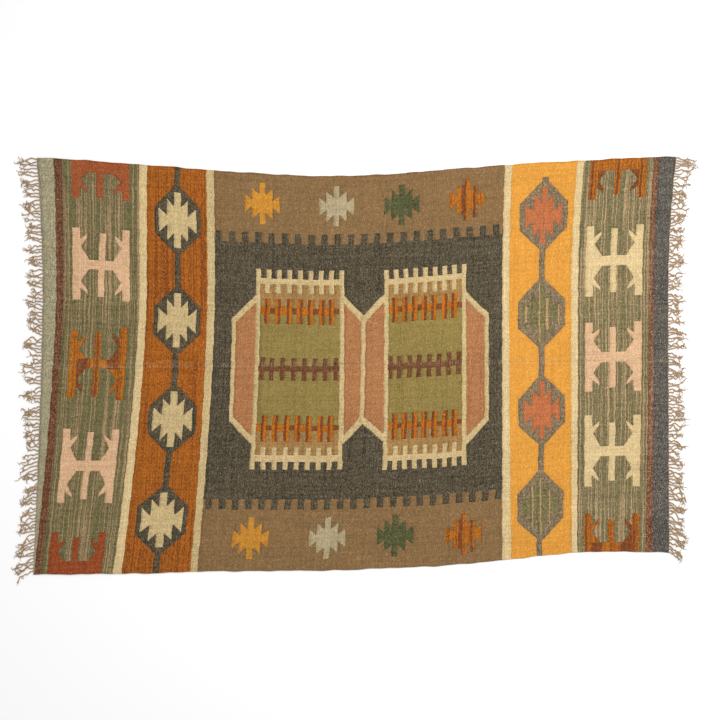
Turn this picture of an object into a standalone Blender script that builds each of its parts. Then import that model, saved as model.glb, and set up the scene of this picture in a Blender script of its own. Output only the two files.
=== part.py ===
"""Flat-woven kilim, about 5 by 8 feet, with slit-tapestry motifs and fringed ends.

Every woven colour area is its own run of wefts, so it is its own solid. The rug lies on its back, face up:
X runs along its length, Y across its width and Z up. It folds in half along a crease at mid width.
An outline is drawn in weave coordinates, along the rug and across it from the far side, and is then laid
down on the floor by place(), which holds the bow of the long sides and the lean of the weft bands.
"""

import math

import bmesh
import bpy
from mathutils import Vector

# Driving dimensions, in metres.
WIDTH = 1.540
THICKNESS = 0.0040
GAP = 0.0003
SELVEDGE = 0.0070
LEFT_FRINGE = 0.068
RIGHT_FRINGE = 0.063

# Outlines get a point wherever they cross a lattice of this step, unless one is closer than the least share.
MESH_STEP = 0.080
LEAST_SHARE = 0.02
SHARPEST_TURN = 0.35
CUT_TOLERANCE = 1e-6

# The crease: where it crosses X = 0, and its slope. The fold axis lies FOLD_LIFT above the top face.
CREASE_Y = 0.007
CREASE_SLOPE = 0.0105
FOLD_LIFT = 0.0030

# Lines between the weft bands: place along the rug, flare at the far side, lean at the near side.
WEFT_LINES = {
    "left_end": (-1.197, -0.023, -0.038),
    "left_web": (-1.145, -0.010, -0.087),
    "left_guard": (-1.118, -0.006, -0.087),
    "left_border": (-0.826, -0.002, -0.102),
    "left_outer_stripe": (-0.797, 0.000, -0.098),
    "left_medallions": (-0.564, -0.006, -0.067),
    "left_inner_stripe": (-0.535, -0.004, -0.069),
    "field_middle": (0.023, 0.004, -0.033),
    "field": (0.570, 0.010, 0.000),
    "right_inner_stripe": (0.597, 0.012, 0.008),
    "right_medallions": (0.835, 0.025, 0.002),
    "right_outer_stripe": (0.862, 0.025, -0.004),
    "right_border": (1.136, 0.021, -0.015),
    "right_guard": (1.153, 0.023, -0.004),
    "right_end": (1.209, 0.031, 0.004),
}

# The flare dies away over the first share of the width; the lean grows from its own share onwards.
FLARE_REACH = 0.35
LEAN_START = 0.30
LEAN_POWER = 1.5

# The long sides as they lie: X, Y.
FAR_SIDE = [
    (-1.236, 0.8005), (-0.939, 0.781), (-0.593, 0.754), (-0.285, 0.733), (-0.015, 0.728),
    (0.254, 0.744), (0.562, 0.769), (0.870, 0.787), (1.240, 0.804),
]
NEAR_SIDE = [
    (-1.236, -0.804), (-0.901, -0.802), (-0.516, -0.792), (-0.131, -0.789), (0.177, -0.778),
    (0.447, -0.762), (0.716, -0.733), (0.947, -0.716), (1.240, -0.722),
]

# Hook motifs on each side: X, then centre across the rug, half length and colour, from the far side.
HOOKS = {
    "left": (-0.975, [
        (0.023, 0.119, "brick_red"), (0.387, 0.135, "shell_pink"), (0.757, 0.131, "burnt_orange"),
        (1.137, 0.137, "shell_pink"), (1.511, 0.127, "brick_red"),
    ]),
    "right": (0.998, [
        (0.025, 0.127, "burnt_orange"), (0.398, 0.139, "cream"), (0.775, 0.135, "shell_pink"),
        (1.145, 0.139, "cream"), (1.521, 0.131, "burnt_orange"),
    ]),
}
HOOK_HALF_WIDTH = 0.111
HOOK_POST = 0.030
HOOK_BAR = 0.0125
HOOK_BAR_INSET = 0.016
HOOK_CROSS = 0.0195

# The barb on the inside of a hook's post: X from the motif's centre line, and depth from the post's end.
BARB_NECK = 0.044
BARB_TIP = (0.052, 0.022)
BARB_HEEL = (0.054, 0.039)
BARB_ROOT = (0.077, 0.071)
HOOK_CROSS_CORNER = 0.046

# Medallions on each side: X, then centres across the rug, from the far side.
MEDALLIONS = {
    "left": (-0.676, [0.202, 0.583, 0.958, 1.340]),
    "right": (0.720, [0.208, 0.591, 0.972, 1.344]),
}
MEDALLION_HALF_WIDTH = 0.089
MEDALLION_SIDE = 0.051
MEDALLION_HALF_LENGTH = 0.127
STEM = 0.011

# The middle field: teeth between the brown bands and the dark ground, as places across the rug.
FAR_TEETH = (0.229, 0.267)
NEAR_TEETH = (1.265, 1.302)
TOOTH = 0.024
FAR_TOOTH_COUNT = 22
FAR_TOOTH_PITCH = 0.0506
NEAR_TOOTH_COUNT = 23
NEAR_TOOTH_PITCH = 0.0487

# The niches: places across the rug at the far and near end, then places along it, outer and inner sides.
NICHE_COMB = (0.371, 1.151)
NICHE_SHOULDER = (0.470, 1.047)
NICHE_CORNER = (0.563, 0.962)
LEFT_NICHE = (-0.468, -0.377, -0.037, 0.037)
RIGHT_NICHE = (0.037, 0.115, 0.429, 0.518)

COLOURS = {
    "grey_green": (0.36, 0.34, 0.22),
    "maroon": (0.18, 0.075, 0.045),
    "sage": (0.19, 0.18, 0.095),
    "cream": (0.69, 0.55, 0.32),
    "rust_orange": (0.40, 0.115, 0.02),
    "charcoal": (0.085, 0.072, 0.052),
    "brown": (0.27, 0.155, 0.068),
    "salmon": (0.48, 0.175, 0.085),
    "yellow_orange": (0.76, 0.33, 0.055),
    "taupe": (0.21, 0.15, 0.10),
    "slate": (0.085, 0.078, 0.078),
    "brick_red": (0.42, 0.085, 0.035),
    "shell_pink": (0.68, 0.37, 0.23),
    "burnt_orange": (0.50, 0.15, 0.018),
    "undyed": (0.48, 0.36, 0.22),
}


def clear_scene():
    for item in list(bpy.data.objects):
        bpy.data.objects.remove(item, do_unlink=True)


def colour_material(name):
    material = bpy.data.materials.get(name)
    if material is None:
        material = bpy.data.materials.new(name)
        material.use_nodes = True
        shader = material.node_tree.nodes["Principled BSDF"]
        shader.inputs["Base Color"].default_value = (*COLOURS[name], 1.0)
        shader.inputs["Roughness"].default_value = 0.92
        shader.inputs["Metallic"].default_value = 0.0
    return material


def through(points, x):
    """Height at x of a smooth curve through the points, level beyond its ends."""
    x = min(max(x, points[0][0]), points[-1][0])
    last = len(points) - 1
    i = 0
    while i < last - 1 and x > points[i + 1][0]:
        i += 1

    def slope(k):
        a = points[max(k - 1, 0)]
        b = points[min(k + 1, last)]
        return (b[1] - a[1]) / (b[0] - a[0])

    (x0, y0), (x1, y1) = points[i], points[i + 1]
    span = x1 - x0
    t = (x - x0) / span
    rise = 3 * t * t - 2 * t ** 3
    leave = t ** 3 - 2 * t * t + t
    arrive = t ** 3 - t * t
    return y0 + (y1 - y0) * rise + span * (leave * slope(i) + arrive * slope(i + 1))


def drift(along, column):
    """Flare or lean of the wefts at one place along the rug, straight between the band lines."""
    lines = list(WEFT_LINES.values())
    along = min(max(along, lines[0][0]), lines[-1][0])
    for before, after in zip(lines, lines[1:]):
        if along <= after[0]:
            share = (along - before[0]) / (after[0] - before[0])
            return before[column] + (after[column] - before[column]) * share
    return lines[-1][column]


def place(along, across):
    """Floor position of a point of the weave."""
    t = across / WIDTH
    far = max(0.0, 1 - t / FLARE_REACH) ** 2
    near = max(0.0, (t - LEAN_START) / (1 - LEAN_START)) ** LEAN_POWER
    x = along + drift(along, 1) * far + drift(along, 2) * near
    y_far = through(FAR_SIDE, x)
    y_near = through(NEAR_SIDE, x)
    return x, y_far + (y_near - y_far) * t


def divided(outline):
    """The closed outline with extra points where it crosses the lattice, so that neighbours bend alike."""
    points = []
    for start, end in zip(outline, outline[1:] + outline[:1]):
        stops = {0.0}
        for axis in (0, 1):
            low, high = sorted((start[axis], end[axis]))
            k = math.ceil(low / MESH_STEP)
            while k * MESH_STEP < high:
                stops.add((k * MESH_STEP - start[axis]) / (end[axis] - start[axis]))
                k += 1
        ordered = sorted(s for s in stops if s < 1)
        kept = [s for i, s in enumerate(ordered) if i == 0 or s - ordered[i - 1] > LEAST_SHARE]
        for s in kept:
            points.append((start[0] + (end[0] - start[0]) * s, start[1] + (end[1] - start[1]) * s))
    return points


def signed_area(points):
    return sum(a[0] * b[1] - b[0] * a[1] for a, b in zip(points, points[1:] + points[:1])) / 2


def moved_in(points, distance):
    """The outline moved towards its left-hand side, which is its inside when it runs anticlockwise."""
    moved = []
    count = len(points)
    for i in range(count):
        before = Vector(points[i]) - Vector(points[i - 1])
        after = Vector(points[(i + 1) % count]) - Vector(points[i])
        before.normalize()
        after.normalize()
        normal = Vector((-before.y - after.y, before.x + after.x))
        turn = max(SHARPEST_TURN, (1 + before.dot(after)) / 2)
        moved.append(tuple(Vector(points[i]) + normal * (distance / (2 * turn))))
    return moved


def laid(outline, inside):
    """An outline of the weave on the floor, moved half a gap off the woven area on its inside or outside."""
    points = [place(*p) for p in divided(outline)]
    if signed_area(points) < 0:
        points.reverse()
    return moved_in(points, GAP / 2 if inside else -GAP / 2)


def woven_solid(name, colour, outline, holes=(), half=None):
    """A flat woven area as a closed solid. Holes leave room for inlays, and half cuts it at the crease."""
    mesh = bmesh.new()
    for ring in [laid(outline, True)] + [laid(hole, False) for hole in holes]:
        verts = [mesh.verts.new((x, y, 0.0)) for x, y in ring]
        for a, b in zip(verts, verts[1:] + verts[:1]):
            mesh.edges.new((a, b))
    bmesh.ops.triangle_fill(mesh, use_beauty=True, edges=mesh.edges[:])
    if half:
        inward = Vector((-CREASE_SLOPE, 1, 0)).normalized() * (1 if half == "far" else -1)
        bmesh.ops.bisect_plane(
            mesh,
            geom=mesh.verts[:] + mesh.edges[:] + mesh.faces[:],
            dist=CUT_TOLERANCE,
            plane_co=Vector((0, CREASE_Y, 0)) + inward * GAP / 2,
            plane_no=-inward,
            clear_outer=True,
        )
    bmesh.ops.triangulate(mesh, faces=mesh.faces[:])
    lifted = bmesh.ops.extrude_face_region(mesh, geom=mesh.faces[:])
    tops = [v for v in lifted["geom"] if isinstance(v, bmesh.types.BMVert)]
    bmesh.ops.translate(mesh, verts=tops, vec=(0, 0, THICKNESS))
    bmesh.ops.recalc_face_normals(mesh, faces=mesh.faces[:])
    data = bpy.data.meshes.new(name)
    mesh.to_mesh(data)
    mesh.free()
    data.materials.append(colour_material(colour))
    solid = bpy.data.objects.new(name, data)
    bpy.context.scene.collection.objects.link(solid)
    return solid


def band(left, right):
    """Outline of a weft band between two band lines, from selvedge to selvedge."""
    x0 = WEFT_LINES[left][0]
    x1 = WEFT_LINES[right][0]
    return [(x0, SELVEDGE), (x1, SELVEDGE), (x1, WIDTH - SELVEDGE), (x0, WIDTH - SELVEDGE)]


def both_halves(name, colour, outline, holes=()):
    for half in ("far", "near"):
        woven_solid(f"{name}_{half}", colour, outline, holes, half)


def hook_arm(reach):
    """The right-hand half of one end of a hook motif, from its post to its middle bar."""
    post = HOOK_HALF_WIDTH - HOOK_POST
    return [
        (HOOK_HALF_WIDTH, reach),
        (post, reach),
        (post, reach - BARB_NECK),
        (BARB_TIP[0], reach - BARB_TIP[1]),
        (BARB_HEEL[0], reach - BARB_HEEL[1]),
        (BARB_ROOT[0], reach - BARB_ROOT[1]),
        (HOOK_CROSS_CORNER, HOOK_CROSS),
        (HOOK_BAR, HOOK_CROSS),
        (HOOK_BAR, reach - HOOK_BAR_INSET),
    ]


def hook_outline(x, centre, reach):
    """Hook motif around a centre. Where it meets a long side it is cut off there."""
    arm = hook_arm(reach)
    far_end = [(dx, -dy) for dx, dy in arm] + [(-dx, -dy) for dx, dy in reversed(arm)]
    near_end = [(-dx, dy) for dx, dy in arm] + [(dx, dy) for dx, dy in reversed(arm)]
    if centre - reach < SELVEDGE:
        edge = SELVEDGE - centre
        outline = [(HOOK_HALF_WIDTH, edge), (-HOOK_HALF_WIDTH, edge)] + near_end
    elif centre + reach > WIDTH - SELVEDGE:
        edge = WIDTH - SELVEDGE - centre
        outline = far_end + [(-HOOK_HALF_WIDTH, edge), (HOOK_HALF_WIDTH, edge)]
    else:
        outline = far_end + near_end
    return [(x + dx, centre + dy) for dx, dy in outline]


def medallion_outline(x, centre):
    w, side, end = MEDALLION_HALF_WIDTH, MEDALLION_SIDE, MEDALLION_HALF_LENGTH
    shape = [
        (STEM, -end), (w, -side), (w, side), (STEM, end),
        (-STEM, end), (-w, side), (-w, -side), (-STEM, -end),
    ]
    return [(x + dx, centre + dy) for dx, dy in shape]


def toothed_line(x0, count, pitch, valley, tip):
    """Points of a toothed edge whose first tooth starts at x0: teeth reach tip, and the rest is at valley."""
    points = []
    for k in range(count):
        start = x0 + k * pitch
        points += [(start, valley), (start, tip), (start + TOOTH, tip), (start + TOOTH, valley)]
    return points[1:]


def niche_end(niche, end):
    """One end of a niche, left to right. The ends are 0 at the far side and 1 at the near side."""
    left, right = niche[1], niche[2]
    shoulder, comb = NICHE_SHOULDER[end], NICHE_COMB[end]
    return [(left, shoulder), (left, comb), (right, comb), (right, shoulder)]


def niche_outline(niche):
    """A niche with its side panels: an octagon around the inner panel, which stands out at both ends."""
    outer_left, outer_right = niche[0], niche[3]
    far = [(outer_left, NICHE_CORNER[0]), *niche_end(niche, 0), (outer_right, NICHE_CORNER[0])]
    near = [(outer_left, NICHE_CORNER[1]), *niche_end(niche, 1), (outer_right, NICHE_CORNER[1])]
    return far + near[::-1]


def niche_pair_outline():
    """Both niches together, which share the line between them."""
    rows = []
    for end in (0, 1):
        rows.append([
            (LEFT_NICHE[0], NICHE_CORNER[end]),
            *niche_end(LEFT_NICHE, end),
            (LEFT_NICHE[3], NICHE_CORNER[end]),
            *niche_end(RIGHT_NICHE, end),
            (RIGHT_NICHE[3], NICHE_CORNER[end]),
        ])
    return rows[0] + rows[1][::-1]


def make_hook_border(side, lines):
    """A border ground and its five hook motifs, of which the long sides cut two."""
    x, hooks = HOOKS[side]
    outlines = [hook_outline(x, centre, reach) for centre, reach, _ in hooks]
    x0, x1 = [WEFT_LINES[line][0] for line in lines]
    far_edge, near_edge = SELVEDGE, WIDTH - SELVEDGE
    far_rim = [(x0, far_edge), outlines[0][1], *outlines[0][2:], outlines[0][0], (x1, far_edge)]
    near_rim = [(x1, near_edge), outlines[4][-1], *outlines[4][:-2], outlines[4][-2], (x0, near_edge)]
    both_halves(f"hook_border_{side}", "sage", far_rim + near_rim, outlines[1:4])
    names = ("rim_hook_far", "hook_far", "hook_middle", "hook_near", "rim_hook_near")
    for name, outline, (_, _, colour) in zip(names, outlines, hooks):
        if name == "hook_middle":
            both_halves(f"{name}_{side}", colour, outline)
        else:
            woven_solid(f"{name}_{side}", colour, outline)


def make_medallion_band(side, lines, ground, inlay):
    """A wide band with its four medallions."""
    x, centres = MEDALLIONS[side]
    outlines = [medallion_outline(x, centre) for centre in centres]
    both_halves(f"medallion_band_{side}", ground, band(*lines), outlines)
    for number, outline in enumerate(outlines, 1):
        woven_solid(f"medallion_{side}_{number}", inlay, outline)


def make_field():
    """The brown bands, the dark field and the two niches in it."""
    x0, x1 = WEFT_LINES["left_inner_stripe"][0], WEFT_LINES["field"][0]
    far_teeth = toothed_line(x0, FAR_TOOTH_COUNT, FAR_TOOTH_PITCH, FAR_TEETH[1], FAR_TEETH[0])
    near_teeth = toothed_line(x0, NEAR_TOOTH_COUNT, NEAR_TOOTH_PITCH, NEAR_TEETH[0], NEAR_TEETH[1])
    far_line = far_teeth + [(x1, FAR_TEETH[1])]
    near_line = near_teeth + [(x1, NEAR_TEETH[0])]
    woven_solid("field_band_far", "brown", [(x0, SELVEDGE), *far_line, (x1, SELVEDGE)])
    near_edge = WIDTH - SELVEDGE
    woven_solid("field_band_near", "brown", [(x0, near_edge), *near_line, (x1, near_edge)])
    both_halves("dark_field", "charcoal", far_line + near_line[::-1], [niche_pair_outline()])
    both_halves("niche_left", "salmon", niche_outline(LEFT_NICHE))
    both_halves("niche_right", "salmon", niche_outline(RIGHT_NICHE))


def make_edges():
    """The selvedge cords along the long sides and the fringe at the two ends."""
    x0, x1 = WEFT_LINES["left_end"][0], WEFT_LINES["right_end"][0]
    for half, c0, c1 in (("far", 0.0, SELVEDGE), ("near", WIDTH - SELVEDGE, WIDTH)):
        woven_solid(f"selvedge_{half}", "brown", [(x0, c0), (x1, c0), (x1, c1), (x0, c1)])
    for side, x, reach in (("left", x0, -LEFT_FRINGE), ("right", x1, RIGHT_FRINGE)):
        both_halves(f"fringe_{side}", "undyed", [(x, 0.0), (x + reach, 0.0), (x + reach, WIDTH), (x, WIDTH)])


def add_fold_axis():
    """Puts the near half on an empty whose local X is the fold axis, which lifts it over the far half."""
    axis = bpy.data.objects.new("half_fold_axis", None)
    axis.location = (0, CREASE_Y, THICKNESS + FOLD_LIFT)
    axis.rotation_euler = (0, 0, math.pi + math.atan(CREASE_SLOPE))
    bpy.context.scene.collection.objects.link(axis)
    bpy.context.view_layer.update()
    for solid in [item for item in bpy.data.objects if item.type == "MESH"]:
        middle = sum((vert.co for vert in solid.data.vertices), Vector()) / len(solid.data.vertices)
        if middle.y < CREASE_Y + CREASE_SLOPE * middle.x:
            solid.parent = axis
            solid.matrix_parent_inverse = axis.matrix_world.inverted()


def make_rug():
    both_halves("end_web_left", "grey_green", band("left_end", "left_web"))
    both_halves("guard_stripe_left", "maroon", band("left_web", "left_guard"))
    make_hook_border("left", ("left_guard", "left_border"))
    both_halves("outer_stripe_left", "cream", band("left_border", "left_outer_stripe"))
    make_medallion_band("left", ("left_outer_stripe", "left_medallions"), "rust_orange", "charcoal")
    both_halves("inner_stripe_left", "cream", band("left_medallions", "left_inner_stripe"))
    make_field()
    both_halves("inner_stripe_right", "cream", band("field", "right_inner_stripe"))
    make_medallion_band("right", ("right_inner_stripe", "right_medallions"), "yellow_orange", "taupe")
    both_halves("outer_stripe_right", "cream", band("right_medallions", "right_outer_stripe"))
    make_hook_border("right", ("right_outer_stripe", "right_border"))
    both_halves("guard_stripe_right", "maroon", band("right_border", "right_guard"))
    both_halves("end_web_right", "slate", band("right_guard", "right_end"))
    make_edges()


clear_scene()
make_rug()
add_fold_axis()
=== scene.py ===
import math
import random

import bpy
import numpy as np
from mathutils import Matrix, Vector


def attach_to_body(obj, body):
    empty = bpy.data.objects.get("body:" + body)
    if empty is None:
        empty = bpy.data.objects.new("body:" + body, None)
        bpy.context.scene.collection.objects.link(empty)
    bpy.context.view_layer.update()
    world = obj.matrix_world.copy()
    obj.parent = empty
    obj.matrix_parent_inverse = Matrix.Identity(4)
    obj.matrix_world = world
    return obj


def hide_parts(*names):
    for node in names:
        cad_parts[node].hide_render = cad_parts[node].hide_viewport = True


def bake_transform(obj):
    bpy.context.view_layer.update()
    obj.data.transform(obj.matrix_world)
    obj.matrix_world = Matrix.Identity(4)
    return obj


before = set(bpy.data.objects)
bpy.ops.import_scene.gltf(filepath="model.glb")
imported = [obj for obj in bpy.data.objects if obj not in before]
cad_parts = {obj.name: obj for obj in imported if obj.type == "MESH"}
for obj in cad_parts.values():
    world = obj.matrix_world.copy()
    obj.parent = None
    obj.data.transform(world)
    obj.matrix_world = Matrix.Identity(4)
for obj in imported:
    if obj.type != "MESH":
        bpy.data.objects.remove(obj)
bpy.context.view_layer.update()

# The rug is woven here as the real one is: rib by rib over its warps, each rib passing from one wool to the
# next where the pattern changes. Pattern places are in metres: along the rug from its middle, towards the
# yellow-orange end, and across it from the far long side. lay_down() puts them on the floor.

# The cloth, in metres: its ribs and how much higher each stands, its thickness, the depth of the valleys
# between ribs, one pass of weft, the longest step along a rib, half a slit and the wander of a run's end.
WIDTH = 1.540
RIB_COUNT = 350
RIB = WIDTH / RIB_COUNT
RIB_HEIGHTS = np.array([random.Random(rib).uniform(0, 0.00018) for rib in range(RIB_COUNT)])
CLOTH = 0.0040
RELIEF = 0.0008
PASS = 0.0019
SEGMENT = 0.020
SLIT = 0.0004
END_WANDER = 0.0004
SHORTEST_RUN = 0.0015
FLOOR_LEVEL = -0.0004
# How far an outline that runs off the cloth goes past its long side.
PAST_SIDE = 0.01

# The crease at mid width, which is also the fold axis.
CREASE_Y = 0.007
CREASE_SLOPE = 0.0105
BEND = 0.015
# The lesser creases: the Y of two along the rug, and the X and slope of one across it.
QUARTER_CREASES = (0.389, -0.388)
CROSS_CREASE = (0.019, 0.01)
LESSER_CREASE_REACH = 0.007

# Lines between the weft bands: place along the rug, flare at the far side, lean at the near side.
WEFT_LINES = {
    "left_end": (-1.197, -0.023, -0.038),
    "left_web": (-1.145, -0.010, -0.087),
    "left_guard": (-1.118, -0.006, -0.087),
    "left_border": (-0.826, -0.002, -0.102),
    "left_outer_stripe": (-0.797, 0.000, -0.098),
    "left_medallions": (-0.564, -0.006, -0.067),
    "left_inner_stripe": (-0.535, -0.004, -0.069),
    "field_middle": (0.023, 0.004, -0.033),
    "field": (0.570, 0.010, 0.000),
    "right_inner_stripe": (0.597, 0.012, 0.008),
    "right_medallions": (0.835, 0.025, 0.002),
    "right_outer_stripe": (0.862, 0.025, -0.004),
    "right_border": (1.136, 0.021, -0.015),
    "right_guard": (1.153, 0.023, -0.004),
    "right_end": (1.209, 0.031, 0.004),
}
FLARE_REACH = 0.35
LEAN_START = 0.30
LEAN_POWER = 1.5

# The long sides as they lie: X, Y.
FAR_SIDE = [
    (-1.236, 0.8005), (-0.939, 0.781), (-0.593, 0.754), (-0.285, 0.733), (-0.015, 0.728),
    (0.254, 0.744), (0.562, 0.769), (0.870, 0.787), (1.240, 0.804),
]
NEAR_SIDE = [
    (-1.236, -0.804), (-0.901, -0.802), (-0.516, -0.792), (-0.131, -0.789), (0.177, -0.778),
    (0.447, -0.762), (0.716, -0.733), (0.947, -0.716), (1.240, -0.722),
]

# Wools: colour, fleck colour and share, streak colour and share, and unevenness of its dye.
WOOLS = {
    "grey_green": ((0.330, 0.290, 0.178), (0.50, 0.42, 0.28), 0.18, (0.28, 0.26, 0.15), 0.24, 0.30),
    "maroon": ((0.132, 0.049, 0.022), (0.27, 0.15, 0.08), 0.22, (0.19, 0.09, 0.05), 0.24, 0.42),
    "faded_maroon": ((0.170, 0.067, 0.034), (0.34, 0.20, 0.12), 0.24, (0.25, 0.12, 0.07), 0.24, 0.38),
    "sage": ((0.131, 0.118, 0.048), (0.24, 0.185, 0.095), 0.18, (0.36, 0.235, 0.125), 0.34, 0.30),
    "pale_sage": ((0.150, 0.130, 0.057), (0.28, 0.22, 0.12), 0.18, (0.42, 0.275, 0.15), 0.34, 0.30),
    "cream": ((0.630, 0.474, 0.243), (0.56, 0.40, 0.19), 0.14, (0.72, 0.55, 0.30), 0.20, 0.18),
    "dull_cream": ((0.540, 0.402, 0.196), (0.45, 0.32, 0.15), 0.14, (0.61, 0.46, 0.24), 0.20, 0.20),
    "rust_orange": ((0.341, 0.100, 0.011), (0.42, 0.15, 0.03), 0.16, (0.215, 0.058, 0.010), 0.36, 0.30),
    "charcoal": ((0.078, 0.061, 0.036), (0.16, 0.13, 0.085), 0.20, (0.050, 0.042, 0.027), 0.28, 0.44),
    "brown": ((0.219, 0.126, 0.052), (0.32, 0.20, 0.095), 0.14, (0.19, 0.11, 0.045), 0.22, 0.20),
    "salmon": ((0.371, 0.160, 0.062), (0.47, 0.23, 0.11), 0.14, (0.32, 0.13, 0.05), 0.22, 0.20),
    "yellow_orange": ((0.655, 0.290, 0.044), (0.76, 0.38, 0.08), 0.14, (0.62, 0.255, 0.037), 0.24, 0.14),
    "taupe": ((0.198, 0.148, 0.083), (0.34, 0.22, 0.13), 0.22, (0.15, 0.12, 0.075), 0.30, 0.36),
    "slate": ((0.091, 0.083, 0.069), (0.21, 0.175, 0.135), 0.22, (0.078, 0.074, 0.064), 0.22, 0.44),
    "brick_red": ((0.322, 0.083, 0.027), (0.42, 0.15, 0.07), 0.14, (0.27, 0.067, 0.024), 0.22, 0.22),
    "deep_brick": ((0.275, 0.060, 0.016), (0.38, 0.12, 0.05), 0.14, (0.23, 0.050, 0.014), 0.22, 0.24),
    "shell_pink": ((0.642, 0.403, 0.233), (0.56, 0.33, 0.17), 0.14, (0.71, 0.46, 0.28), 0.20, 0.18),
    "burnt_orange": ((0.395, 0.130, 0.012), (0.50, 0.19, 0.03), 0.18, (0.26, 0.068, 0.012), 0.42, 0.26),
    "coral": ((0.450, 0.138, 0.050), (0.53, 0.20, 0.09), 0.14, (0.38, 0.11, 0.04), 0.22, 0.20),
    "bright_orange": ((0.438, 0.125, 0.005), (0.50, 0.17, 0.02), 0.14, (0.34, 0.09, 0.007), 0.24, 0.26),
    "dark_rust": ((0.189, 0.056, 0.017), (0.29, 0.10, 0.03), 0.18, (0.15, 0.043, 0.015), 0.28, 0.30),
    "tan_brown": ((0.325, 0.181, 0.062), (0.40, 0.25, 0.10), 0.14, (0.25, 0.14, 0.05), 0.25, 0.24),
    "olive": ((0.246, 0.178, 0.051), (0.33, 0.25, 0.09), 0.14, (0.205, 0.145, 0.04), 0.22, 0.18),
    "plum": ((0.150, 0.057, 0.024), (0.23, 0.11, 0.05), 0.16, (0.11, 0.044, 0.022), 0.22, 0.34),
    "gold": ((0.515, 0.225, 0.029), (0.62, 0.30, 0.06), 0.14, (0.46, 0.19, 0.024), 0.22, 0.18),
    "silver": ((0.385, 0.310, 0.178), (0.47, 0.39, 0.24), 0.14, (0.34, 0.27, 0.155), 0.20, 0.18),
    "pine": ((0.080, 0.084, 0.033), (0.16, 0.15, 0.065), 0.14, (0.064, 0.070, 0.028), 0.22, 0.34),
    "moss": ((0.172, 0.148, 0.062), (0.27, 0.21, 0.10), 0.18, (0.115, 0.108, 0.042), 0.28, 0.36),
    "tan": ((0.400, 0.250, 0.120), (0.47, 0.31, 0.16), 0.14, (0.34, 0.205, 0.095), 0.20, 0.24),
}

# Hook motifs. Half a motif's width, its posts, bar and cross, and the barbs on the inside of its posts.
HOOK_HALF_WIDTH = 0.110
HOOK_POST = 0.0295
HOOK_BAR = 0.0125
HOOK_CROSS = 0.0195
HOOK_CORE = 0.0046
POST_STREAK = (0.0045, 0.0135)
HOOK_HEART = 0.037
BARB_NECK = 0.044
BARB_TIP = (0.052, 0.022)
BARB_HEEL = (0.054, 0.039)
BARB_ROOT = (0.077, 0.071)
HOOK_CROSS_CORNER = 0.046
HOOK_LAP = 0.001
# A motif whose middle is nearer than this to a long side is cut off by it.
RIM = 0.05

# Each hook motif: place along and across, reach of its left post, right post and bar towards the far and near
# sides, shift of its bar at the far and near end, and its wool.
LEFT_HOOKS = [
    (-0.973, 0.023, (0.130, 0.119), (0.130, 0.119), (0.130, 0.112), (-0.002, -0.002), "brick_red"),
    (-0.973, 0.387, (0.137, 0.133), (0.137, 0.133), (0.117, 0.119), (0.0075, -0.002), "shell_pink"),
    (-0.974, 0.757, (0.125, 0.129), (0.139, 0.131), (0.119, 0.123), (-0.003, -0.003), "burnt_orange"),
    (-0.977, 1.138, (0.140, 0.139), (0.140, 0.139), (0.125, 0.125), (-0.001, -0.0065), "shell_pink"),
    (-0.984, 1.513, (0.127, 0.130), (0.127, 0.130), (0.108, 0.130), (-0.006, -0.006), "deep_brick"),
]
RIGHT_HOOKS = [
    (0.999, 0.025, (0.130, 0.127), (0.130, 0.127), (0.130, 0.116), (-0.002, -0.002), "burnt_orange"),
    (0.999, 0.398, (0.140, 0.137), (0.140, 0.137), (0.124, 0.126), (-0.002, -0.002), "cream"),
    (0.999, 0.776, (0.137, 0.133), (0.137, 0.133), (0.117, 0.121), (-0.002, -0.002), "shell_pink"),
    (0.999, 1.145, (0.140, 0.139), (0.140, 0.139), (0.113, 0.118), (-0.002, -0.002), "cream"),
    (0.999, 1.523, (0.133, 0.130), (0.133, 0.130), (0.108, 0.130), (-0.002, -0.002), "burnt_orange"),
]

# Medallions and stars: places along and across.
LEFT_MEDALLIONS = [(-0.678, 0.202), (-0.678, 0.583), (-0.674, 0.959), (-0.680, 1.340)]
RIGHT_MEDALLIONS = [(0.722, 0.208), (0.721, 0.591), (0.720, 0.972), (0.713, 1.344)]
FAR_STARS = [
    (-0.352, 0.117, "gold"), (-0.069, 0.119, "silver"),
    (0.180, 0.123, "pine"), (0.429, 0.123, "burnt_orange"),
]
NEAR_STARS = [
    (-0.352, 1.415, "gold"), (-0.071, 1.415, "silver"),
    (0.177, 1.415, "pine"), (0.429, 1.425, "burnt_orange"),
]
STEM = 0.0108
# Half width of a medallion, half the length of its upright sides, and half of its whole length.
LEFT_MEDALLION = (0.089, 0.050, 0.127)
RIGHT_MEDALLION = (0.090, 0.051, 0.134)
# Tan lines in the mossy stars, by medallion: place from the star's middle, width, reach far and near.
TAN_LINES = {
    2: [
        (-0.0072, 0.005, -0.120, 0.114), (0.0215, 0.010, -0.060, 0.064),
        (-0.060, 0.008, -0.036, 0.033), (0.067, 0.006, -0.033, 0.048),
    ],
    4: [(-0.030, 0.006, -0.082, 0.089), (0.001, 0.005, -0.108, 0.115), (0.036, 0.006, -0.058, 0.081)],
}
# Dark lines in the orange field stars: their two sides, reach far and near.
STAR_DARK_LINES = [
    (-0.020, -0.0106, 0.056, 0.056), (0.024, 0.033, 0.052, 0.070), (-0.0106, -0.004, 0.080, 0.080),
]
# Half widths of a star's bar, inner and outer points, then how far each reaches across and where it joins.
FIELD_STAR = (0.0106, 0.0393, 0.0662, 0.080, 0.060, 0.036, 0.035, 0.0135)
LEFT_STAR = (0.0135, 0.0404, 0.0732, 0.104, 0.079, 0.047, 0.050, 0.017)
RIGHT_STAR = (0.0116, 0.0385, 0.0693, 0.112, 0.086, 0.050, 0.054, 0.018)

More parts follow.
